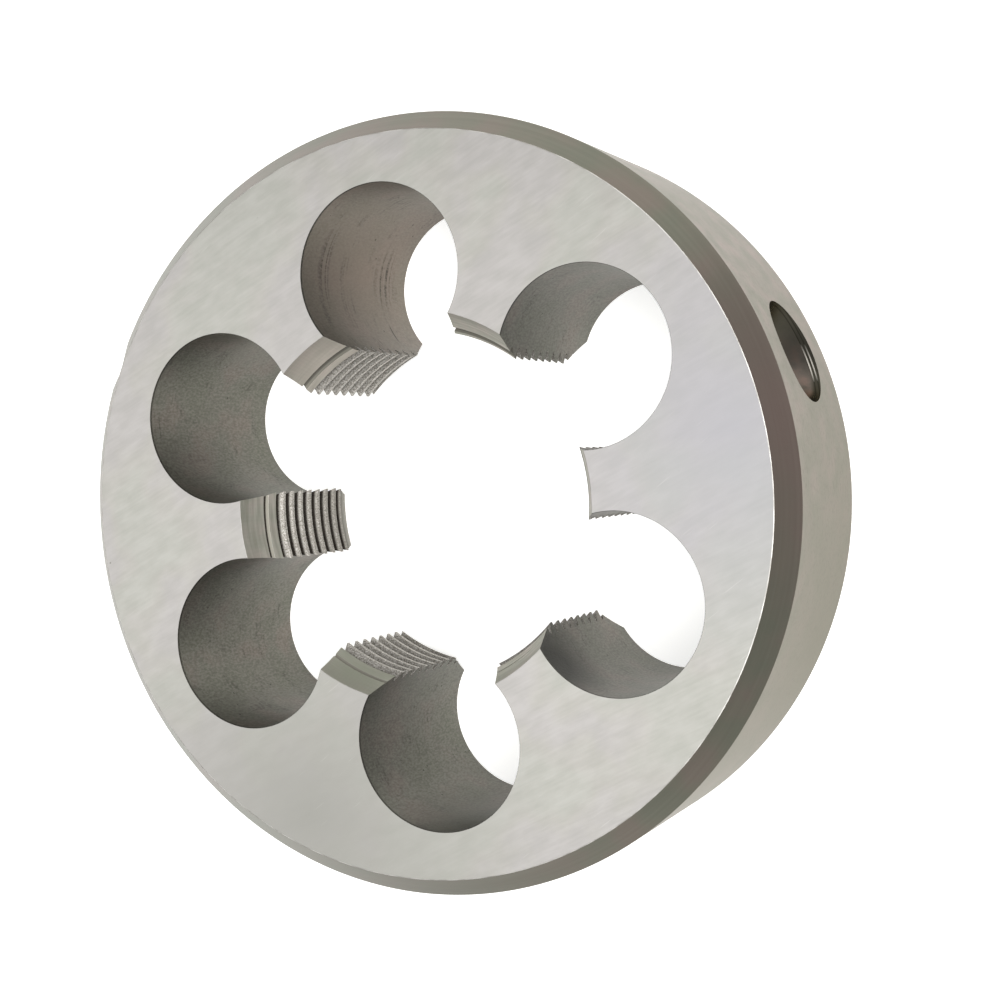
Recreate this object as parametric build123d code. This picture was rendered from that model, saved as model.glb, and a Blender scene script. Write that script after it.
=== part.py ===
from build123d import *
import os
from math import radians, tan

# A closed round die for cutting a fine external thread. One piece of hardened tool steel.
# Millimetres and degrees. The origin is the centre of the back face, +Z runs along the axis to the
# front face, where the work enters. Angles are counted about +Z from +X, seen from the front.

# Disc
OUTER_DIAMETER = 55.0
THICKNESS = 16.0
FRONT_CHAMFER_WIDTH = 1.45
FRONT_CHAMFER_HEIGHT = 1.65
BACK_EDGE_BREAK = 0.25

# Thread on the lands, right hand, ISO metric form. The middle of its groove reaches the front face
# at the start angle.
THREAD_DIAMETER = 26.0
THREAD_PITCH = 1.25
THREAD_FLANK_ANGLE = 30.0
THREAD_START_ANGLE = 30.0

# Cones at the mouths of the bore. The front one leads the work in, the back one lets it out and
# cuts close to a shoulder when the die is turned over.
LEAD_HALF_ANGLE = 24.0
FRONT_MOUTH_DIAMETER = 27.4
BACK_MOUTH_DIAMETER = 28.0

# Clearance holes, which part the bore into lands and take the chips
HOLE_COUNT = 6
HOLE_DIAMETER = 12.4
HOLE_CIRCLE_DIAMETER = 33.1
FIRST_HOLE_ANGLE = 30.0

# Notch in the rim, in line with one clearance hole, where the die may be slit
NOTCH_HOLE = 2
NOTCH_DEPTH = 1.1
NOTCH_FLOOR_WIDTH = 0.8
NOTCH_FLANK_ANGLE = 55.0

# Seats for the holder's screws, one each side of the notch
SEAT_OFFSET_ANGLE = 135.0
SEAT_DIAMETER = 8.0
SEAT_CONE_ANGLE = 90.0
SEAT_TIP_DIAMETER = 0.6
SEAT_HEIGHT = 7.4

# Sizes that follow
OUTER_RADIUS = OUTER_DIAMETER / 2
HOLE_STEP = 360.0 / HOLE_COUNT
NOTCH_ANGLE = FIRST_HOLE_ANGLE + NOTCH_HOLE * HOLE_STEP
GROOVE_ROOT_RADIUS = THREAD_DIAMETER / 2
GROOVE_ROOT_WIDTH = THREAD_PITCH / 8
GROOVE_MOUTH_WIDTH = THREAD_PITCH * 3 / 4
FLANK_SLOPE = tan(radians(THREAD_FLANK_ANGLE))
CREST_RADIUS = GROOVE_ROOT_RADIUS - (GROOVE_MOUTH_WIDTH - GROOVE_ROOT_WIDTH) / 2 / FLANK_SLOPE


def lead_length(mouth_diameter):
    """Height of the cone between a mouth of the bore and the crests of the thread."""
    return (mouth_diameter / 2 - CREST_RADIUS) / tan(radians(LEAD_HALF_ANGLE))


def blank():
    """The turned blank: half of its section, revolved from the notch, which takes the seam away."""
    section = Polyline(
        (BACK_MOUTH_DIAMETER / 2, 0, 0),
        (OUTER_RADIUS - BACK_EDGE_BREAK, 0, 0),
        (OUTER_RADIUS, 0, BACK_EDGE_BREAK),
        (OUTER_RADIUS, 0, THICKNESS - FRONT_CHAMFER_HEIGHT),
        (OUTER_RADIUS - FRONT_CHAMFER_WIDTH, 0, THICKNESS),
        (FRONT_MOUTH_DIAMETER / 2, 0, THICKNESS),
        (CREST_RADIUS, 0, THICKNESS - lead_length(FRONT_MOUTH_DIAMETER)),
        (CREST_RADIUS, 0, lead_length(BACK_MOUTH_DIAMETER)),
        close=True,
    )
    return Rot(0, 0, NOTCH_ANGLE) * revolve(make_face(section), axis=Axis.Z)


def clearance_holes():
    """Drills through both faces, evenly spaced on their circle. They break into the bore."""
    drill = Cylinder(HOLE_DIAMETER / 2, THICKNESS * 2)
    places = PolarLocations(HOLE_CIRCLE_DIAMETER / 2, HOLE_COUNT, start_angle=FIRST_HOLE_ANGLE)
    return [place * Pos(0, 0, THICKNESS / 2) * drill for place in places]


def groove_arc():
    """One land's share of one turn of the thread groove, from mid-hole to mid-hole about +X.

    Its section is the groove between two teeth, carried inwards past the crests by a quarter of
    what would close the tooth, so that neighbouring turns never meet.
    """
    rise = THREAD_PITCH / HOLE_COUNT
    tooth_crest = THREAD_PITCH - GROOVE_MOUTH_WIDTH
    past_crest = tooth_crest / 8 / FLANK_SLOPE
    half_root = GROOVE_ROOT_WIDTH / 2
    half_inside = GROOVE_MOUTH_WIDTH / 2 + past_crest * FLANK_SLOPE
    inside = CREST_RADIUS - past_crest
    outline = Polyline(
        (inside, 0, -half_inside),
        (GROOVE_ROOT_RADIUS, 0, -half_root),
        (GROOVE_ROOT_RADIUS, 0, half_root),
        (inside, 0, half_inside),
        close=True,
    )
    path = Helix(pitch=THREAD_PITCH, height=rise, radius=CREST_RADIUS)
    arc = sweep(make_face(outline), path=path, is_frenet=True)
    return Rot(0, 0, -HOLE_STEP / 2) * Pos(0, 0, -rise / 2) * arc


def thread_grooves():
    """Every groove on every land, from above the front face to below the back face."""
    arc = groove_arc()
    grooves = []
    for land in range(HOLE_COUNT):
        angle = FIRST_HOLE_ANGLE - HOLE_STEP / 2 + land * HOLE_STEP
        height = THICKNESS + THREAD_PITCH * (angle - THREAD_START_ANGLE) / 360
        while height > -THREAD_PITCH:
            grooves.append(Rot(0, 0, angle) * Pos(0, 0, height) * arc)
            height -= THREAD_PITCH
    return grooves


def notch():
    """A blunt V along the whole rim, ground from outside."""
    floor = OUTER_RADIUS - NOTCH_DEPTH
    reach = NOTCH_DEPTH * 2
    half_floor = NOTCH_FLOOR_WIDTH / 2
    half_mouth = half_floor + reach * tan(radians(NOTCH_FLANK_ANGLE))
    outline = Polyline(
        (floor, -half_floor),
        (floor + reach, -half_mouth),
        (floor + reach, half_mouth),
        (floor, half_floor),
        close=True,
    )
    wheel = extrude(make_face(outline), amount=THICKNESS * 2)
    return Rot(0, 0, NOTCH_ANGLE) * Pos(0, 0, -THICKNESS / 2) * wheel


def screw_seats():
    """Cones sunk into the rim, as wide as their diameter at the plane that touches the rim there."""
    slope = tan(radians(SEAT_CONE_ANGLE / 2))
    depth = (SEAT_DIAMETER - SEAT_TIP_DIAMETER) / 2 / slope
    spare = SEAT_DIAMETER / 4
    cone = Cone(
        SEAT_TIP_DIAMETER / 2,
        SEAT_DIAMETER / 2 + spare * slope,
        depth + spare,
        align=(Align.CENTER, Align.CENTER, Align.MIN),
    )
    place = Pos(OUTER_RADIUS - depth, 0, SEAT_HEIGHT) * Rot(0, 90, 0)
    return [Rot(0, 0, NOTCH_ANGLE + side * SEAT_OFFSET_ANGLE) * place * cone for side in (-1, 1)]


def die_body():
    body = blank() - clearance_holes()
    body = body - thread_grooves()
    body = body - [notch(), *screw_seats()]
    body.label = "die_body"
    return body


os.makedirs("parts", exist_ok=True)
export_step(die_body(), "parts/die_body.step")
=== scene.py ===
import math

import bpy
from mathutils import Matrix, Vector


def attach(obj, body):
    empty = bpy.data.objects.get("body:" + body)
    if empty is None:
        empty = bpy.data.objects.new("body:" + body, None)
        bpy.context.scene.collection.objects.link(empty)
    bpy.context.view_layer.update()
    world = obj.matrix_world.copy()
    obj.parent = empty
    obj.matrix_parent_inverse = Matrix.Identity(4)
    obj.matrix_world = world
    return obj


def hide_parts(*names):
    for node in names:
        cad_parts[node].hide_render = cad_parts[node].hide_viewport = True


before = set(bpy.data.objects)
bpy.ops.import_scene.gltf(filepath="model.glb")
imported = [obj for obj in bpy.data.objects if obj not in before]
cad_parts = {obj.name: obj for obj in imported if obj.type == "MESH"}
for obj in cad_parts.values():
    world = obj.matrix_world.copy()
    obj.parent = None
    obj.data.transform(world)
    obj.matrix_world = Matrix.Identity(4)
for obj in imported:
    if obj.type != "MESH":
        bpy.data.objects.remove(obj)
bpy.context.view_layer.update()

# Sizes of the die in millimetres, as in the part's source
THICKNESS = 16.0
OUTER_RADIUS = 27.5
CHAMFER_WIDTH = 1.45
CHAMFER_HEIGHT = 1.65
BACK_BREAK = 0.25
PITCH = 1.25
ROOT_RADIUS = 13.0
CREST_RADIUS = 12.3234
LEAD_SLOPE = math.tan(math.radians(24))
FRONT_MOUTH = 13.7
BACK_MOUTH = 14.0
FRONT_LEAD_END = THICKNESS - (FRONT_MOUTH - CREST_RADIUS) / LEAD_SLOPE
BACK_LEAD_END = (BACK_MOUTH - CREST_RADIUS) / LEAD_SLOPE
START_ANGLE = 30.0
HOLES = 6
HOLE_RADIUS = 6.2
HOLE_CIRCLE = 16.55
FIRST_HOLE = 30.0
NOTCH_ANGLE = 150.0
NOTCH_FLOOR = 26.4
NOTCH_HALF_WIDTH = 0.4
NOTCH_SLOPE = math.tan(math.radians(55))
NOTCH_REACH = 3.0
SEAT_ANGLES = (15.0, 285.0)
SEAT_HEIGHT = 7.4
SEAT_RADIUS = 4.0
SEAT_TIP = 0.3
SEAT_SPARE = 2.0

# What the grinder and the drill leave on an edge
EDGE = 0.045
GROUND_EDGE = 0.055

# How far a bar that cuts stands out past each face
RUN_OUT = 1.0

# The upright part of a face's normal: more than FLAT on a ground face, less than UPRIGHT on a wall
FLAT = 0.99
UPRIGHT = 0.1

# Rings in a screw seat, as distances from its axis, and how wide they are
SEAT_RINGS = (3.54, 3.74)
RING_WIDTH = 0.07

# Sides of what is turned, and steps in one turn of the thread
RIM_SIDES = 360
BORE_SIDES = 288
HOLE_SIDES = 144
SEAT_SIDES = 96
THREAD_STEPS = 180


# Materials


def colour(hexa):
    """An sRGB hex colour as the linear values that a shader takes."""
    parts = [int(hexa[i : i + 2], 16) / 255 for i in (1, 3, 5)]
    linear = [part / 12.92 if part <= 0.04045 else ((part + 0.055) / 1.055) ** 2.4 for part in parts]
    return (*linear, 1.0)


def add(tree, kind, inputs=None, stops=(), **settings):
    """Adds a node. An input given a socket is linked to it, and one given a value is set."""
    node = tree.nodes.new(kind)
    for name, value in settings.items():
        setattr(node, name, value)
    for name, value in (inputs or {}).items():
        if isinstance(value, bpy.types.NodeSocket):
            tree.links.new(value, node.inputs[name])
        else:
            node.inputs[name].default_value = value
    for number, (at, tone) in enumerate(stops):
        band = node.color_ramp.elements
        stop = band[number] if number < len(band) else band.new(at)
        stop.position = at
        stop.color = colour(tone)
    return node


def steel(name, rough):
    """A bare steel finish: its tree, its shader and the place on the piece in metres."""
    finish = bpy.data.materials.new(name)
    finish.use_nodes = True
    tree = finish.node_tree
    shader = tree.nodes["Principled BSDF"]
    shader.inputs["Metallic"].default_value = 1.0
    shader.inputs["Roughness"].default_value = rough
    shader.inputs["Base Color"].default_value = colour("#b8b5ae")
    place = add(tree, "ShaderNodeTexCoord").outputs["Object"]
    return finish, tree, shader, place


def grain(tree, place, size, turn=0.0, detail=3.0):
    """Noise whose cells are this many millimetres long along X, Y and Z, turned about Z."""
    laid = {
        "Vector": place,
        "Rotation": (0, 0, math.radians(turn)),
        "Scale": [length / 1000 for length in size],
    }
    cells = add(tree, "ShaderNodeMapping", laid, vector_type="TEXTURE").outputs[0]
    return add(tree, "ShaderNodeTexNoise", {"Vector": cells, "Scale": 1.0, "Detail": detail}).outputs[0]


def rings(tree, place, size, detail=3.0):
    """Noise drawn out round the die's axis. Its cells are this many millimetres out, round and up."""
    out, along, up = size
    flat = add(tree, "ShaderNodeVectorMath", {0: place, 1: (1, 1, 0)}, operation="MULTIPLY")
    radius = add(tree, "ShaderNodeVectorMath", {0: flat.outputs[0]}, operation="LENGTH")
    heading = add(tree, "ShaderNodeVectorMath", {0: flat.outputs[0]}, operation="NORMALIZE")
    reach = add(tree, "ShaderNodeMath", {0: radius.outputs["Value"], 1: 1000 / out}, operation="MULTIPLY")
    lift = add(tree, "ShaderNodeCombineXYZ", {"Z": reach.outputs[0]})
    drawn = add(
        tree,
        "ShaderNodeVectorMath",
        {0: heading.outputs[0], 1: (OUTER_RADIUS / along, OUTER_RADIUS / along, 0), 2: lift.outputs[0]},
        operation="MULTIPLY_ADD",
    )
    split = add(tree, "ShaderNodeSeparateXYZ", {0: place})
    height = add(tree, "ShaderNodeMath", {0: split.outputs[2], 1: 1000 / up}, operation="MULTIPLY")
    noise = add(
        tree,
        "ShaderNodeTexNoise",
        {"Vector": drawn.outputs[0], "W": height.outputs[0], "Scale": 1.0, "Detail": detail},
        noise_dimensions="4D",
    )
    return noise.outputs[0]


def bore_depth(tree, place, clean=0.0):
    """How deep a point lies below the bore and its leads, in metres. Clean lifts the front lead so far."""
    flat = add(tree, "ShaderNodeVectorMath", {0: place, 1: (1, 1, 0)}, operation="MULTIPLY")
    radius = add(tree, "ShaderNodeVectorMath", {0: flat.outputs[0]}, operation="LENGTH").outputs["Value"]
    height = add(tree, "ShaderNodeSeparateXYZ", {0: place}).outputs[2]
    front_tip = (FRONT_MOUTH + clean - THICKNESS * LEAD_SLOPE) / 1000
    back_tip = BACK_MOUTH / 1000
    front = add(tree, "ShaderNodeMath", {0: height, 1: LEAD_SLOPE, 2: front_tip}, operation="MULTIPLY_ADD")
    back = add(tree, "ShaderNodeMath", {0: height, 1: -LEAD_SLOPE, 2: back_tip}, operation="MULTIPLY_ADD")
    leads = add(tree, "ShaderNodeMath", {0: front.outputs[0], 1: back.outputs[0]}, operation="MAXIMUM")
    bore = add(tree, "ShaderNodeMath", {0: leads.outputs[0], 1: CREST_RADIUS / 1000}, operation="MAXIMUM")
    return add(tree, "ShaderNodeMath", {0: radius, 1: bore.outputs[0]}, operation="SUBTRACT").outputs[0]


def pits(tree, place, apart, size, share):
    """Dots of about size millimetres, one to a cell, with only a share of them kept."""
    cells = add(tree, "ShaderNodeTexVoronoi", {"Vector": place, "Scale": 1000 / apart})
    inside = {0: cells.outputs["Distance"], 1: size / apart / 2}
    near = add(tree, "ShaderNodeMath", inside, operation="LESS_THAN")
    chance = add(tree, "ShaderNodeSeparateColor", {0: cells.outputs["Color"]})
    kept = add(tree, "ShaderNodeMath", {0: chance.outputs[0], 1: share}, operation="LESS_THAN")
    both = {0: near.outputs[0], 1: kept.outputs[0]}
    return add(tree, "ShaderNodeMath", both, operation="MULTIPLY").outputs[0]


def spot(tree, place, middle, reach, turn=(0, 0, 0)):
    """Fades from 1 at the middle to 0 at this reach along X, Y and Z, all in millimetres."""
    laid = {
        "Vector": place,
        "Location": [length / 1000 for length in middle],
        "Rotation": [math.radians(angle) for angle in turn],
        "Scale": [length / 1000 for length in reach],
    }
    near = add(tree, "ShaderNodeMapping", laid, vector_type="TEXTURE").outputs[0]
    return add(tree, "ShaderNodeTexGradient", {"Vector": near}, gradient_type="SPHERICAL").outputs[1]


def ground_face():
    """Hardened tool steel, surface ground: an even satin with fine straight lines one way."""
    finish, tree, shader, place = steel("surface_ground_steel", 0.38)
    lines = grain(tree, place, (3.4, 0.2, 4.0), turn=20)
    cloud = grain(tree, place, (2.0, 0.9, 2.0), turn=20, detail=5.0)
    tint = grain(tree, place, (7.0, 6.0, 6.0), turn=60, detail=2.0)
    greys = [(0.34, "#afaea9"), (0.5, "#b7b6b1"), (0.66, "#bfbeb9")]
    stains = [(0.36, "#abaaa4"), (0.5, "#b7b5b0"), (0.64, "#c3c1bd")]
    shades = [(0.42, "#b4b5aa"), (0.5, "#b9b5ad"), (0.58, "#bab4b4")]
    tone = add(tree, "ShaderNodeValToRGB", {0: lines}, greys).outputs[0]
    stain = add(tree, "ShaderNodeValToRGB", {0: cloud}, stains).outputs[0]
    shade = add(tree, "ShaderNodeValToRGB", {0: tint}, shades).outputs[0]
    spread = add(tree, "ShaderNodeMix", {0: 0.5, 6: stain, 7: shade}, data_type="RGBA").outputs[2]
    mixed = add(tree, "ShaderNodeMix", {0: 0.7, 6: tone, 7: spread}, data_type="RGBA").outputs[2]
    # Painted shade darkens one side, and a painted cool reflection tints the opposite one
    painted_shade_patch = spot(tree, place, (-11, -21, 16), (19, 17, 19))
    dulled = {0: painted_shade_patch, 6: mixed, 7: colour("#a09f99")}
    face_with_painted_shade = add(tree, "ShaderNodeMix", dulled, data_type="RGBA").outputs[2]
    painted_reflection_patch = {0: spot(tree, place, (24, 2, 16), (14, 16, 14)), 1: 0.8}
    painted_reflection_weight = add(tree, "ShaderNodeMath", painted_reflection_patch, operation="MULTIPLY").outputs[0]
    painted_reflection_mix = {0: painted_reflection_weight, 6: face_with_painted_shade, 7: colour("#b0afb4")}
    face_with_painted_light = add(tree, "ShaderNodeMix", painted_reflection_mix, data_type="RGBA").outputs[2]
    # Scratches that cross the grinding lines at a small angle
    scratches = grain(tree, place, (3.5, 0.1, 4.0), turn=31, detail=1.0)
    few = {"Value": scratches, "From Min": 0.73, "From Max": 0.79, "To Max": 0.3}
    clean = {0: add(tree, "ShaderNodeMapRange", few).outputs[0], 6: face_with_painted_light, 7: colour("#d6d5d2")}
    scored = add(tree, "ShaderNodeMix", clean, data_type="RGBA").outputs[2]
    dots = pits(tree, place, 2.4, 0.14, 0.3)
    shown = add(tree, "ShaderNodeMix", {0: dots, 6: scored, 7: colour("#8e8c86")}, data_type="RGBA")
    tree.links.new(shown.outputs[2], shader.inputs["Base Color"])
    satin = {"Value": lines, "From Min": 0.3, "From Max": 0.7, "To Min": 0.36, "To Max": 0.4}
    tree.links.new(add(tree, "ShaderNodeMapRange", satin).outputs[0], shader.inputs["Roughness"])
    bump = add(tree, "ShaderNodeBump", {"Height": lines, "Strength": 1.0, "Distance": 0.001 / 1000})
    tree.links.new(bump.outputs[0], shader.inputs["Normal"])
    return finish


def turned_chamfer():
    """The same steel, turned before hardening: darker, with brown and green patches of scale."""
    finish, tree, shader, place = steel("turned_steel", 0.38)
    marks = rings(tree, place, (0.25, 14.0, 0.25))
    cloud = grain(tree, place, (4.0, 4.0, 4.0), detail=4.0)
    greys = [(0.36, "#6b6860"), (0.5, "#716e65"), (0.64, "#77746b")]
    scales = [(0.38, "#66685c"), (0.5, "#6b695e"), (0.62, "#716860")]
    tone = add(tree, "ShaderNodeValToRGB", {0: marks}, greys).outputs[0]
    stain = add(tree, "ShaderNodeValToRGB", {0: cloud}, scales).outputs[0]
    # The heat has left it browner on one side, and painted shade darkens the next
    brown = {0: spot(tree, place, (27, 3, 15), (14, 14, 14)), 6: stain, 7: colour("#7d6b66")}
    browner = add(tree, "ShaderNodeMix", brown, data_type="RGBA").outputs[2]
    dark = {0: spot(tree, place, (-2, -28, 15), (20, 9, 9)), 6: browner, 7: colour("#55544a")}
    scale_and_painted_shade = add(tree, "ShaderNodeMix", dark, data_type="RGBA").outputs[2]
    mixed = add(tree, "ShaderNodeMix", {0: 0.7, 6: tone, 7: scale_and_painted_shade}, data_type="RGBA")
    tree.links.new(mixed.outputs[2], shader.inputs["Base Color"])
    bump = add(tree, "ShaderNodeBump", {"Height": marks, "Strength": 1.0, "Distance": 0.002 / 1000})
    tree.links.new(bump.outputs[0], shader.inputs["Normal"])
    return finish


def ground_rim():
    """Cylindrically ground steel: satin, fine lines round the die, and a tarnish of pink and green."""
    finish, tree, shader, place = steel("cylinder_ground_steel", 0.38)
    lines = rings(tree, place, (3.0, 6.0, 0.3))
    cloud = grain(tree, place, (2.0, 2.0, 2.0), detail=5.0)
    specks = grain(tree, place, (0.3, 0.3, 0.3), detail=2.0)
    greys = [(0.36, "#83807a"), (0.5, "#8a8680"), (0.64, "#918c86")]
    stains = [(0.36, "#83837a"), (0.5, "#8a867f"), (0.64, "#928984")]
    tone = add(tree, "ShaderNodeValToRGB", {0: lines}, greys).outputs[0]
    stain = add(tree, "ShaderNodeValToRGB", {0: cloud}, stains).outputs[0]
    mixed = add(tree, "ShaderNodeMix", {0: 0.6, 6: tone, 7: stain}, data_type="RGBA").outputs[2]
    # Painted shade darkens the rim on one side, most near its back edge
    side = spot(tree, place, (24, -14, 2), (30, 30, 30))
    darkened = {0: side, 6: mixed, 7: colour("#7d7a6f")}
    tone_and_painted_shade = add(tree, "ShaderNodeMix", darkened, data_type="RGBA").outputs[2]
    # The tarnish tints glancing reflections too, and the painted shade dims them on the same side
    glances = [(0.36, "#d4d3ce"), (0.5, "#dad8d4"), (0.64, "#e2dcd9")]
    glance = add(tree, "ShaderNodeValToRGB", {0: cloud}, glances).outputs[0]
    glance_tint_and_painted_shade = add(tree, "ShaderNodeMix", {0: side, 6: glance, 7: colour("#d6d4cf")}, data_type="RGBA")
    tree.links.new(glance_tint_and_painted_shade.outputs[2], shader.inputs["Specular Tint"])
    dust = {"Value": specks, "From Min": 0.5, "From Max": 0.7, "To Max": 0.35}
    dulled = {0: add(tree, "ShaderNodeMapRange", dust).outputs[0], 6: tone_and_painted_shade, 7: colour("#6d6a63")}
    shown = add(tree, "ShaderNodeMix", dulled, data_type="RGBA")
    tree.links.new(shown.outputs[2], shader.inputs["Base Color"])
    bump = add(tree, "ShaderNodeBump", {"Height": specks, "Strength": 1.0, "Distance": 0.004 / 1000})
    tree.links.new(bump.outputs[0], shader.inputs["Normal"])
    return finish


def drilled_wall():
    """A drilled wall, darkened by the heat treatment: brown and green scale, speckled, with torn rings."""
    finish, tree, shader, place = steel("drilled_steel", 0.5)
    cloud = grain(tree, place, (3.4, 3.4, 4.0))
    scales = [(0.36, "#65665b"), (0.5, "#6b6a61"), (0.64, "#736c64")]
    scale = add(tree, "ShaderNodeValToRGB", {0: cloud}, scales).outputs[0]
    # Sand-like scale. Its true grain is about 0.05 mm and would not show
    sand = grain(tree, place, (0.15, 0.15, 0.32))
    greys = [(0.34, "#534f48"), (0.5, "#747169"), (0.64, "#8d8981")]
    grey = add(tree, "ShaderNodeValToRGB", {0: sand}, greys).outputs[0]
    mixed = add(tree, "ShaderNodeMix", {0: 0.32, 6: scale, 7: grey}, data_type="RGBA").outputs[2]
    # One hole ran hotter and its scale is lighter and redder
    heat = {0: spot(tree, place, (-5, 18, 8), (15, 11, 18)), 1: 0.7}
    hotter = add(tree, "ShaderNodeMath", heat, operation="MULTIPLY").outputs[0]
    redder = {0: hotter, 6: mixed, 7: colour("#8e8074")}
    warmed = add(tree, "ShaderNodeMix", redder, data_type="RGBA").outputs[2]
    # Painted shade darkens the foot of the hole opposite, and oil stands at the mouth of the one beside that
    foot = {0: spot(tree, place, (0, -24, 11), (8, 4.5, 12)), 6: warmed, 7: colour("#47463c")}
    wall_with_painted_shade = add(tree, "ShaderNodeMix", foot, data_type="RGBA").outputs[2]
    pool = {0: spot(tree, place, (9.2, -12.0, 15.5), (4.0, 4.0, 7.0)), 1: 1.4}
    brimmed = add(tree, "ShaderNodeMath", pool, operation="MULTIPLY", use_clamp=True).outputs[0]
    brim = {0: brimmed, 6: wall_with_painted_shade, 7: colour("#38362f")}
    painted_shade_and_oil = add(tree, "ShaderNodeMix", brim, data_type="RGBA").outputs[2]
    # Rings that the drill tore, in patches and most of all in two bands of the hot hole
    marks = grain(tree, place, (60.0, 60.0, 0.24), detail=2.0)
    patches = grain(tree, place, (1.8, 1.8, 1.8))
    torn = add(tree, "ShaderNodeMapRange", {"Value": marks, "From Min": 0.46, "From Max": 0.56}).outputs[0]
    here = {"Value": patches, "From Min": 0.56, "From Max": 0.66, "To Max": 0.4}
    where = add(tree, "ShaderNodeMapRange", here).outputs[0]
    high = spot(tree, place, (-5.9, 18.4, 12.8), (3, 4, 1.0))
    low = spot(tree, place, (-5.9, 18.0, 3.6), (3, 3, 2.0))
    bands = add(tree, "ShaderNodeMath", {0: high, 1: low}, operation="MAXIMUM").outputs[0]
    drawn = add(tree, "ShaderNodeMath", {0: bands, 1: 1.1}, operation="MULTIPLY").outputs[0]
    chattered = add(tree, "ShaderNodeMath", {0: where, 1: drawn}, operation="MAXIMUM").outputs[0]
    gaps = {"Value": sand, "From Min": 0.4, "From Max": 0.6, "To Min": 1.0, "To Max": 0.35}
    broken = add(tree, "ShaderNodeMapRange", gaps).outputs[0]
    dotted = add(tree, "ShaderNodeMath", {0: torn, 1: broken}, operation="MULTIPLY").outputs[0]
    ragged = add(tree, "ShaderNodeMath", {0: dotted, 1: chattered}, operation="MULTIPLY").outputs[0]
    # Pinholes in the scale
    holes = pits(tree, place, 0.8, 0.17, 0.16)
    deep = add(tree, "ShaderNodeMath", {0: ragged, 1: holes}, operation="MAXIMUM").outputs[0]
    # One scratch across the wall of the hot hole, left by a chip
    chip = spot(tree, place, (-5.46, 13.72, 4.06), (0.95, 0.5, 0.13), (0, -5.5, -62.7))
    scored = add(tree, "ShaderNodeMath", {0: chip, 1: 2.5, 2: deep}, operation="MULTIPLY_ADD").outputs[0]
    marked = add(tree, "ShaderNodeMath", {0: scored, 1: 0.85}, operation="MINIMUM").outputs[0]
    dirt = {0: marked, 6: painted_shade_and_oil, 7: colour("#3d3a34")}
    ringed = add(tree, "ShaderNodeMix", dirt, data_type="RGBA").outputs[2]
    # A dark ragged line just under the face
    height = add(tree, "ShaderNodeSeparateXYZ", {0: place}).outputs[2]
    wavy = {0: sand, 1: 0.3 / 1000, 2: height}
    uneven = add(tree, "ShaderNodeMath", wavy, operation="MULTIPLY_ADD").outputs[0]
    brink = {"Value": uneven, "From Min": (THICKNESS - 0.08) / 1000, "From Max": (THICKNESS + 0.02) / 1000}
    lip = add(tree, "ShaderNodeMapRange", brink).outputs[0]
    edged = add(tree, "ShaderNodeMix", {0: lip, 6: ringed, 7: colour("#45433c")}, data_type="RGBA")
    tree.links.new(edged.outputs[2], shader.inputs["Base Color"])
    relief = add(tree, "ShaderNodeMath", {0: marked, 1: -0.5, 2: sand}, operation="MULTIPLY_ADD").outputs[0]
    bump = add(tree, "ShaderNodeBump", {"Height": relief, "Strength": 1.0, "Distance": 0.012 / 1000})
    tree.links.new(bump.outputs[0], shader.inputs["Normal"])
    return finish


def oil_and_painted_shade(tree, place, thin):
    """How dark the grooves are with oil and painted shade: full on the land at -X, and thin on the rest."""
    across = add(tree, "ShaderNodeSeparateXYZ", {0: place}).outputs[0]
    run = {"Value": across, "From Min": -11.5 / 1000, "From Max": -8.5 / 1000, "To Min": 1.0, "To Max": thin}
    return add(tree, "ShaderNodeMapRange", run).outputs[0]


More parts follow.
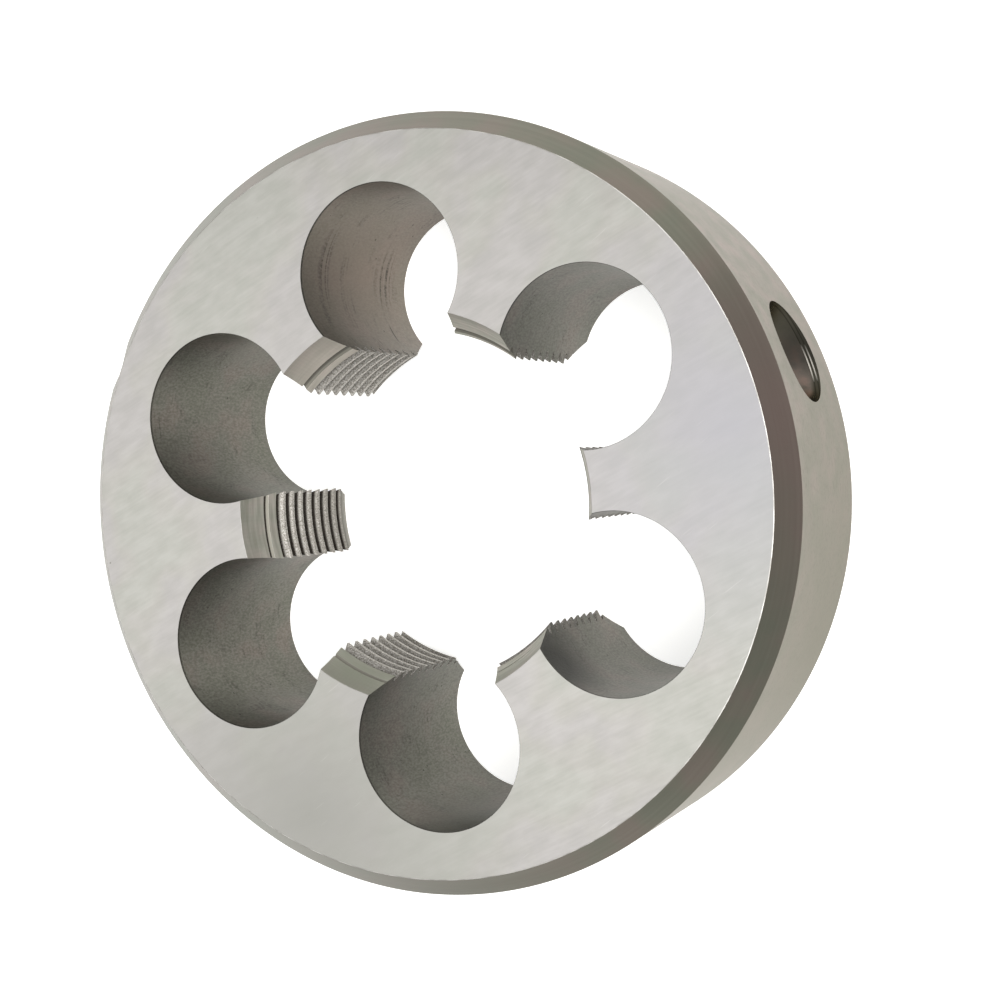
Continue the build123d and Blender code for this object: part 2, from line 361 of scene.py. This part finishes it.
def cut_lead():
    """The cone at each mouth of the bore: lapped to a matt grey, with oil and painted shade in the grooves
    that cross it.
    """
    finish, tree, shader, place = steel("lapped_lead_steel", 0.62)
    lines = rings(tree, place, (0.22, 7.0, 0.22))
    cloud = grain(tree, place, (1.6, 1.6, 1.6))
    greys = [(0.36, "#a9a79b"), (0.5, "#bbb9ae"), (0.62, "#d2d0c6")]
    stains = [(0.38, "#b0b2a4"), (0.5, "#bebbb0"), (0.62, "#cdc2bb")]
    tone = add(tree, "ShaderNodeValToRGB", {0: lines}, greys).outputs[0]
    stain = add(tree, "ShaderNodeValToRGB", {0: cloud}, stains).outputs[0]
    mixed = add(tree, "ShaderNodeMix", {0: 0.5, 6: tone, 7: stain}, data_type="RGBA").outputs[2]
    # Painted light makes one land lighter, and painted shade darkens the next but one
    painted_light_patch = {0: spot(tree, place, (-7, 12, 15), (8, 8, 8)), 1: 0.6}
    lapped = add(tree, "ShaderNodeMath", painted_light_patch, operation="MULTIPLY").outputs[0]
    pale = {0: lapped, 6: mixed, 7: colour("#faf0e6")}
    lead_with_painted_light = add(tree, "ShaderNodeMix", pale, data_type="RGBA").outputs[2]
    lead_painted_shade_patch = {0: spot(tree, place, (-6.5, -11, 15), (6, 6, 6)), 6: lead_with_painted_light, 7: colour("#a9ac9d")}
    lead_with_painted_light_and_shade = add(tree, "ShaderNodeMix", lead_painted_shade_patch, data_type="RGBA").outputs[2]
    # The cone at the back has never been lapped
    height = add(tree, "ShaderNodeSeparateXYZ", {0: place}).outputs[2]
    back = {"Value": height, "From Min": 3.6 / 1000, "From Max": 4.2 / 1000, "To Min": 0.9, "To Max": 0.0}
    old = {0: add(tree, "ShaderNodeMapRange", back).outputs[0], 6: lead_with_painted_light_and_shade, 7: colour("#57534b")}
    darkened = add(tree, "ShaderNodeMix", old, data_type="RGBA").outputs[2]
    depth = bore_depth(tree, place)
    deeper = {"Value": depth, "From Min": 0.004 / 1000, "From Max": 0.02 / 1000}
    flank = {0: add(tree, "ShaderNodeMapRange", deeper).outputs[0], 6: darkened, 7: colour("#928f85")}
    grooved = add(tree, "ShaderNodeMix", flank, data_type="RGBA").outputs[2]
    # Oil and painted shade darken the deeper grooves, most on the land at -X
    darkening_with_painted_shade = add(tree, "ShaderNodeMapRange", {"Value": depth, "From Min": 0.12 / 1000, "From Max": 0.16 / 1000})
    pool = {0: darkening_with_painted_shade.outputs[0], 1: oil_and_painted_shade(tree, place, 0.42)}
    groove_oil_and_painted_shade = add(tree, "ShaderNodeMath", pool, operation="MULTIPLY").outputs[0]
    shown = add(tree, "ShaderNodeMix", {0: groove_oil_and_painted_shade, 6: grooved, 7: colour("#37332e")}, data_type="RGBA")
    tree.links.new(shown.outputs[2], shader.inputs["Base Color"])
    bump = add(tree, "ShaderNodeBump", {"Height": lines, "Strength": 1.0, "Distance": 0.008 / 1000})
    tree.links.new(bump.outputs[0], shader.inputs["Normal"])
    return finish


def cut_teeth():
    """Thread teeth: bright torn crests, and dark roots, with oil where nothing polishes the steel and painted
    shade.
    """
    finish, tree, shader, place = steel("cut_tooth_steel", 0.62)
    # Torn grains of the cut. The true ones, of about 0.03 mm, would not show
    crumbs = grain(tree, place, (0.1, 0.1, 0.1))
    greys = [(0.34, "#807c75"), (0.5, "#a7a39c"), (0.66, "#d0cdc7")]
    crest = add(tree, "ShaderNodeValToRGB", {0: crumbs}, greys).outputs[0]
    # The front teeth cut and are rubbed bright. Those behind them only follow and keep the oil, with painted
    # shade, most on the land at -X
    oil_and_painted_shade_weight = oil_and_painted_shade(tree, place, 0.12)
    height = add(tree, "ShaderNodeSeparateXYZ", {0: place}).outputs[2]
    behind = {"Value": height, "From Min": 2.6 / 1000, "From Max": 12.0 / 1000, "To Min": 0.62, "To Max": 0.0}
    followed = {0: add(tree, "ShaderNodeMapRange", behind).outputs[0], 1: oil_and_painted_shade_weight}
    dulled = add(tree, "ShaderNodeMath", followed, operation="MULTIPLY").outputs[0]
    dull = {0: dulled, 6: crest, 7: colour("#6a665e")}
    rubbed = add(tree, "ShaderNodeMix", dull, data_type="RGBA").outputs[2]
    # Oil and painted shade darken the roots, most on the land at -X
    depth = bore_depth(tree, place, clean=0.3)
    ragged = add(tree, "ShaderNodeMath", {0: crumbs, 1: 0.22 / 1000, 2: depth}, operation="MULTIPLY_ADD")
    flank = {"Value": ragged.outputs[0], "From Min": 0.25 / 1000, "From Max": 0.36 / 1000}
    pool = {0: add(tree, "ShaderNodeMapRange", flank).outputs[0], 1: oil_and_painted_shade_weight}
    darkening_with_painted_shade = add(tree, "ShaderNodeMath", pool, operation="MULTIPLY").outputs[0]
    oil = add(tree, "ShaderNodeValToRGB", {0: crumbs}, [(0.3, "#1f1c19"), (0.7, "#403b36")]).outputs[0]
    shown = add(tree, "ShaderNodeMix", {0: darkening_with_painted_shade, 6: rubbed, 7: oil}, data_type="RGBA")
    tree.links.new(shown.outputs[2], shader.inputs["Base Color"])
    bump = add(tree, "ShaderNodeBump", {"Height": crumbs, "Strength": 1.0, "Distance": 0.014 / 1000})
    tree.links.new(bump.outputs[0], shader.inputs["Normal"])
    return finish


def countersunk_seat():
    """A cone sunk with a countersink: brown steel, with painted shade in its upper half and tip, and a dark
    line at its mouth.
    """
    finish, tree, shader, place = steel("countersunk_steel", 0.42)
    # Dry oil takes the shine off at a glancing angle
    shader.inputs["Specular Tint"].default_value = colour("#8a857a")
    cloud = grain(tree, place, (1.2, 1.2, 1.2))
    browns = [(0.36, "#534f49"), (0.5, "#5e5751"), (0.64, "#6a5d56")]
    tone = add(tree, "ShaderNodeValToRGB", {0: cloud}, browns).outputs[0]
    # Painted shade darkens the upper half and the tip, and a dark line runs round the mouth
    across = add(tree, "ShaderNodeSeparateXYZ", {0: place}).outputs[1]
    edge = add(tree, "ShaderNodeMath", {0: cloud, 1: 2.0 / 1000, 2: across}, operation="MULTIPLY_ADD")
    pool = {"Value": edge.outputs[0], "From Min": 7.0 / 1000, "From Max": 10.0 / 1000}
    upper = add(tree, "ShaderNodeMapRange", pool).outputs[0]
    flat = add(tree, "ShaderNodeVectorMath", {0: place, 1: (1, 1, 0)}, operation="MULTIPLY")
    radius = add(tree, "ShaderNodeVectorMath", {0: flat.outputs[0]}, operation="LENGTH").outputs["Value"]
    out = {"Value": radius, "From Min": 26.95 / 1000, "From Max": 27.15 / 1000}
    mouth = add(tree, "ShaderNodeMapRange", out).outputs[0]
    down = {"Value": radius, "From Min": 24.1 / 1000, "From Max": 24.7 / 1000, "To Min": 1.0, "To Max": 0.0}
    tip = add(tree, "ShaderNodeMapRange", down).outputs[0]
    ends = add(tree, "ShaderNodeMath", {0: mouth, 1: tip}, operation="MAXIMUM").outputs[0]
    darkening_with_painted_shade = add(tree, "ShaderNodeMath", {0: upper, 1: ends}, operation="MAXIMUM").outputs[0]
    shown = add(tree, "ShaderNodeMix", {0: darkening_with_painted_shade, 6: tone, 7: colour("#403e37")}, data_type="RGBA")
    tree.links.new(shown.outputs[2], shader.inputs["Base Color"])
    return finish


def painted_highlight_ring():
    """Rings near the mouth of a seat, with a painted highlight on them for a short way."""
    finish, tree, shader, place = steel("painted_highlight_steel", 0.5)
    shader.inputs["Specular Tint"].default_value = colour("#8a857a")
    # Painted highlight: the rings are bright along a short arc and dark elsewhere
    rubbed = spot(tree, place, (26.2, 6.3, 4.1), (1.6, 1.6, 1.6))
    tone = add(tree, "ShaderNodeValToRGB", {0: rubbed}, [(0.05, "#34322c"), (0.75, "#cbc6bd")])
    tree.links.new(tone.outputs[0], shader.inputs["Base Color"])
    return finish


def edge_with_painted_highlight():
    """An edge that the grinding wheel has just broken: a hairline of clean steel, torn and so matt, and
    lighter as a painted highlight.
    """
    finish, tree, shader, place = steel("broken_edge_steel", 0.6)
    patches = grain(tree, place, (1.2, 1.2, 1.2), detail=2.0)
    # The steel is lighter than the face, as a painted highlight along the edge
    tone = add(tree, "ShaderNodeValToRGB", {0: patches}, [(0.4, "#b9b6b0"), (0.6, "#e2e0db")])
    tree.links.new(tone.outputs[0], shader.inputs["Base Color"])
    return finish


def white_board():
    """The table under the die: matt white acrylic, lit a little from below."""
    finish = bpy.data.materials.new("lit_white_acrylic")
    finish.use_nodes = True
    shader = finish.node_tree.nodes["Principled BSDF"]
    shader.inputs["Base Color"].default_value = colour("#f6f6f4")
    shader.inputs["Emission Color"].default_value = colour("#fbfbfa")
    shader.inputs["Emission Strength"].default_value = 0.62
    shader.inputs["Roughness"].default_value = 0.9
    shader.inputs["Specular IOR Level"].default_value = 0.2
    return finish


FACE = ground_face()
CHAMFER = turned_chamfer()
RIM = ground_rim()
WALL = drilled_wall()
LEAD = cut_lead()
TEETH = cut_teeth()
SEAT = countersunk_seat()
PAINTED_HIGHLIGHT_RING = painted_highlight_ring()
BREAK = edge_with_painted_highlight()


# Shapes, worked in millimetres and brought down to metres at the end


def only(obj):
    """Leaves one object selected and active."""
    bpy.ops.object.select_all(action="DESELECT")
    obj.select_set(True)
    bpy.context.view_layer.objects.active = obj


def name_it(name):
    """Names the object just added, and keeps it the only one selected."""
    made = bpy.context.active_object
    made.name = made.data.name = name
    only(made)
    return made


def close_up(obj):
    """Merges the seam and points every face outwards."""
    bpy.ops.mesh.select_all(action="SELECT")
    bpy.ops.mesh.remove_doubles(threshold=0.0005)
    bpy.ops.mesh.normals_make_consistent(inside=False)
    bpy.ops.object.mode_set(mode="OBJECT")
    return obj


def turned_bar(name, outline, sides):
    """Turns a solid bar about Z. The outline runs up its side as pairs of radius and height."""
    radius, height = outline[0]
    foot = (0, 0, height)
    bpy.ops.mesh.primitive_circle_add(vertices=sides, radius=radius, fill_type="NGON", location=foot)
    bar = name_it(name)
    bpy.ops.object.transform_apply(location=True)
    bpy.ops.object.mode_set(mode="EDIT")
    bpy.ops.mesh.select_all(action="SELECT")
    for next_radius, next_height in outline[1:]:
        rise = {"value": (0, 0, next_height - height)}
        bpy.ops.mesh.extrude_region_move(TRANSFORM_OT_translate=rise)
        factor = next_radius / radius
        bpy.ops.transform.resize(value=(factor, factor, 1), center_override=(0, 0, 0))
        radius, height = next_radius, next_height
    return close_up(bar)


def finish_faces(obj, choose):
    """Gives each face the finish that choose returns for its centre and normal."""
    slots = {}
    for face in obj.data.polygons:
        finish = choose(face.center, face.normal)
        if finish.name not in slots:
            slots[finish.name] = len(obj.data.materials)
            obj.data.materials.append(finish)
        face.material_index = slots[finish.name]


def cut(body, tool):
    """Cuts the tool's shape out of the body, and the cut keeps the tool's finish."""
    only(body)
    step = body.modifiers.new("cut", "BOOLEAN")
    step.operation = "DIFFERENCE"
    step.solver = "EXACT"
    step.material_mode = "TRANSFER"
    step.object = tool
    bpy.ops.object.modifier_apply(modifier=step.name)
    bpy.data.objects.remove(tool)


def turned_blank():
    """The disc, with its front chamfer and the hairline breaks that grinding leaves beside it."""
    top = OUTER_RADIUS - CHAMFER_WIDTH
    shoulder = THICKNESS - CHAMFER_HEIGHT
    outline = [
        (OUTER_RADIUS - BACK_BREAK, 0),
        (OUTER_RADIUS, BACK_BREAK),
        (OUTER_RADIUS, shoulder - EDGE / 2),
        (OUTER_RADIUS - EDGE / 5, shoulder + EDGE / 3),
        (top + GROUND_EDGE / 2, THICKNESS - GROUND_EDGE / 3),
        (top - GROUND_EDGE / 2, THICKNESS),
    ]
    blank = turned_bar("die", outline, RIM_SIDES)

    def choose(centre, normal):
        if abs(normal.z) > FLAT:
            return FACE
        if abs(normal.z) < UPRIGHT:
            return RIM
        if centre.z > THICKNESS - GROUND_EDGE / 2:
            return BREAK
        return CHAMFER if centre.z > shoulder + EDGE / 2 else RIM

    finish_faces(blank, choose)
    return blank


def bore_tool():
    """A bar that cuts the bore, its lead cones and their broken edges."""
    outline = [
        (BACK_MOUTH + EDGE + RUN_OUT, -RUN_OUT),
        (BACK_MOUTH, EDGE),
        (CREST_RADIUS, BACK_LEAD_END),
        (CREST_RADIUS, FRONT_LEAD_END),
        (FRONT_MOUTH, THICKNESS - EDGE / 2),
        (FRONT_MOUTH + EDGE / 2 + RUN_OUT, THICKNESS + RUN_OUT),
    ]
    tool = turned_bar("bore_tool", outline, BORE_SIDES)

    def choose(centre, normal):
        if centre.z < EDGE or centre.z > THICKNESS - EDGE / 2:
            return BREAK
        return TEETH if abs(normal.z) < UPRIGHT else LEAD

    finish_faces(tool, choose)
    return tool


def drill(number):
    """A drill for one clearance hole, flared where it leaves each face."""
    outline = [
        (HOLE_RADIUS + EDGE / 2 + RUN_OUT, -RUN_OUT),
        (HOLE_RADIUS, EDGE / 2),
        (HOLE_RADIUS, THICKNESS - EDGE / 2),
        (HOLE_RADIUS + EDGE / 2 + RUN_OUT, THICKNESS + RUN_OUT),
    ]
    tool = turned_bar("drill", outline, HOLE_SIDES)
    finish_faces(tool, lambda centre, normal: WALL)
    angle = math.radians(FIRST_HOLE + number * 360 / HOLES)
    tool.data.transform(Matrix.Translation((HOLE_CIRCLE * math.cos(angle), HOLE_CIRCLE * math.sin(angle), 0)))
    return tool


def thread_tool():
    """The groove between two teeth, wound up the bore as a right-hand helix from below to above the die."""
    half_root = PITCH / 16
    past_crest = 0.07
    inside = CREST_RADIUS - past_crest
    half_inside = PITCH * 3 / 8 + past_crest * math.tan(math.radians(30))
    turns = 15
    bottom = THICKNESS - PITCH * START_ANGLE / 360 - PITCH * (turns - 1)
    bpy.ops.mesh.primitive_plane_add(size=1)
    tool = name_it("thread_tool")
    corners = [
        (inside, -half_inside),
        (ROOT_RADIUS, -half_root),
        (inside, half_inside),
        (ROOT_RADIUS, half_root),
    ]
    for point, (radius, height) in zip(tool.data.vertices, corners):
        point.co = (radius, 0, height + bottom)
    bpy.ops.object.mode_set(mode="EDIT")
    bpy.ops.mesh.select_all(action="SELECT")
    bpy.ops.mesh.delete(type="ONLY_FACE")
    bpy.ops.object.mode_set(mode="OBJECT")
    wind = tool.modifiers.new("wind", "SCREW")
    wind.axis = "Z"
    wind.angle = math.radians(360)
    wind.screw_offset = PITCH
    wind.iterations = turns
    wind.steps = wind.render_steps = THREAD_STEPS
    wind.use_smooth_shade = False
    bpy.ops.object.modifier_apply(modifier=wind.name)
    bpy.ops.object.mode_set(mode="EDIT")
    bpy.ops.mesh.select_all(action="SELECT")
    bpy.ops.mesh.fill_holes(sides=4)
    close_up(tool)
    # The finish of the leads ends at these heights, a little before their cones do
    lapped = THICKNESS - 2.8
    unlapped = 3.0
    finish_faces(tool, lambda centre, normal: TEETH if unlapped < centre.z < lapped else LEAD)
    return tool


def seat_tool(angle):
    """A countersink of 90 degrees pointed at the axis, with two thin rings near the mouth of the seat."""
    bounds = [edge for ring in SEAT_RINGS for edge in (ring, ring + RING_WIDTH)]
    outline = [(radius, radius - SEAT_RADIUS) for radius in (SEAT_TIP, *bounds, SEAT_RADIUS + SEAT_SPARE)]
    tool = turned_bar("seat_tool", outline, SEAT_SIDES)

    def choose(centre, normal):
        reach = math.hypot(centre.x, centre.y)
        return PAINTED_HIGHLIGHT_RING if any(ring < reach < ring + RING_WIDTH for ring in SEAT_RINGS) else SEAT

    finish_faces(tool, choose)
    place = Matrix.Rotation(math.radians(angle), 4, "Z") @ Matrix.Translation((OUTER_RADIUS, 0, SEAT_HEIGHT))
    tool.data.transform(place @ Matrix.Rotation(math.radians(90), 4, "Y"))
    return tool


def notch_tool():
    """A dressed wheel that runs up the rim and leaves a blunt V."""
    bpy.ops.mesh.primitive_cube_add(size=1)
    tool = name_it("notch_tool")
    for point in tool.data.vertices:
        reach = NOTCH_REACH if point.co.x > 0 else 0.0
        half = NOTCH_HALF_WIDTH + reach * NOTCH_SLOPE
        side = 1 if point.co.y > 0 else -1
        height = THICKNESS + 2 * RUN_OUT if point.co.z > 0 else -2 * RUN_OUT
        point.co = (NOTCH_FLOOR + reach, side * half, height)
    bpy.ops.object.mode_set(mode="EDIT")
    close_up(tool)
    tool.data.transform(Matrix.Rotation(math.radians(NOTCH_ANGLE), 4, "Z"))
    finish_faces(tool, lambda centre, normal: RIM)
    return tool


def die():
    """The whole die: turned, bored, drilled, threaded, sunk and notched, then brought down to metres."""
    body = turned_blank()
    cut(body, bore_tool())
    for number in range(HOLES):
        cut(body, drill(number))
    cut(body, thread_tool())
    for angle in SEAT_ANGLES:
        cut(body, seat_tool(angle))
    cut(body, notch_tool())
    only(body)
    body.data.transform(Matrix.Scale(0.001, 4))
    bpy.ops.object.shade_smooth_by_angle(angle=math.radians(12))
    return body


piece = die()
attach(piece, "root")
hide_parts("die_body")


# Board, lights and camera


def board():
    """The table, which is no part of the die."""
    bpy.ops.mesh.primitive_plane_add(size=6.0)
    made = name_it("board")
    made.data.materials.append(white_board())


def softbox(name, place, target, size, power):
    """A square-cornered soft light aimed at the target. Sizes are in metres and the power in watts."""
    lamp = bpy.data.lights.new(name, "AREA")
    lamp.shape = "RECTANGLE"
    lamp.size, lamp.size_y = size
    lamp.energy = power
    holder = bpy.data.objects.new(name, lamp)
    holder.location = place
    holder.rotation_euler = (Vector(target) - Vector(place)).to_track_quat("-Z", "Y").to_euler()
    bpy.context.scene.collection.objects.link(holder)


def studio():
    """An even pale room and three soft lights."""
    world = bpy.data.worlds.new("studio")
    world.use_nodes = True
    backdrop = world.node_tree.nodes["Background"]
    backdrop.inputs["Color"].default_value = colour("#f2f2f2")
    backdrop.inputs["Strength"].default_value = 0.35
    bpy.context.scene.world = world
    middle = (0, 0, 0.008)
    # Close to the lens, so that the light reaches the board through every hole
    softbox("key", (0.25, -0.03, 0.55), middle, (0.34, 0.34), 3.1)
    # Where the ground face mirrors it
    softbox("overhead", (-0.29, -0.03, 0.52), middle, (0.5, 0.5), 0.93)
    # Low behind the die, for the far side of the chamfer
    softbox("side", (0.12, 0.4, 0.09), middle, (0.5, 0.15), 0.31)
    scene = bpy.context.scene
    scene.view_settings.view_transform = "Standard"


def camera():
    """Looks down on the die as it lies on its back face, from a hand's breadth above and to the right."""
    lens = bpy.data.cameras.new("camera")
    lens.sensor_width = 36.0
    lens.lens = 61.06
    lens.clip_start = 0.01
    lens.shift_x = -0.0005
    lens.shift_y = 0.0005
    eye = bpy.data.objects.new("camera", lens)
    right = Vector((0.9028, -0.1277, -0.4107)).normalized()
    back = Vector((0.4119, -0.0181, 0.9110)).normalized()
    up = back.cross(right).normalized()
    right = up.cross(back)
    turn = Matrix((right, up, back)).transposed().to_4x4()
    eye.matrix_world = Matrix.Translation((0.054459, -0.002524, 0.120735)) @ turn
    bpy.context.scene.collection.objects.link(eye)
    bpy.context.scene.camera = eye


board()
studio()
camera()
